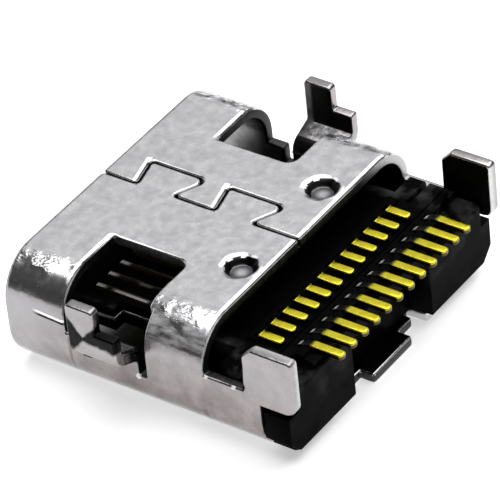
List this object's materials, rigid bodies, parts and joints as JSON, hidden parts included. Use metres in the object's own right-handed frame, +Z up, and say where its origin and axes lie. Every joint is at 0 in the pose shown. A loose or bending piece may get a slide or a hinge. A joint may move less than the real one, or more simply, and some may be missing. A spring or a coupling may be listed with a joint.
{
  "type": "reversible charging and data socket for a circuit board",
  "caption": "Flat oval board socket in a stamped steel shell, sunk into its board, with a contact tongue in the mouth, two rows of solder feet behind and legs at the corners.",
  "frame": {"origin": "middle of the bounding box, on the plain wall of the shell that the part lies on", "axes": "+X across the socket, +Y from the mouth to the solder feet, +Z up to the board side"},
  "size_m": [0.0104, 0.0088, 0.0034],
  "materials": {
    "shell_steel": "plain mill finish with light handling marks",
    "plate_steel": "plain stamped",
    "black_plastic": "black moulded, slightly satin",
    "contact_gold": "gold flash, satin"
  },
  "bodies": {
    "root": {"shell": "shell_steel", "tongue": "black_plastic", "front_row_carrier": "black_plastic", "rear_row_carrier": "black_plastic", "mid_plate": "plate_steel", "board_side_ground_plate": "plate_steel", "plain_side_ground_plate": "plate_steel", "contact_a01": "contact_gold", "contact_a02": "contact_gold", "contact_a03": "contact_gold", "contact_a04": "contact_gold", "contact_a05": "contact_gold", "contact_a06": "contact_gold", "contact_a07": "contact_gold", "contact_a08": "contact_gold", "contact_a09": "contact_gold", "contact_a10": "contact_gold", "contact_a11": "contact_gold", "contact_a12": "contact_gold", "contact_b01": "contact_gold", "contact_b02": "contact_gold", "contact_b03": "contact_gold", "contact_b04": "contact_gold", "contact_b05": "contact_gold", "contact_b06": "contact_gold", "contact_b07": "contact_gold", "contact_b08": "contact_gold", "contact_b09": "contact_gold", "contact_b10": "contact_gold", "contact_b11": "contact_gold", "contact_b12": "contact_gold"}
  },
  "joints": []
}
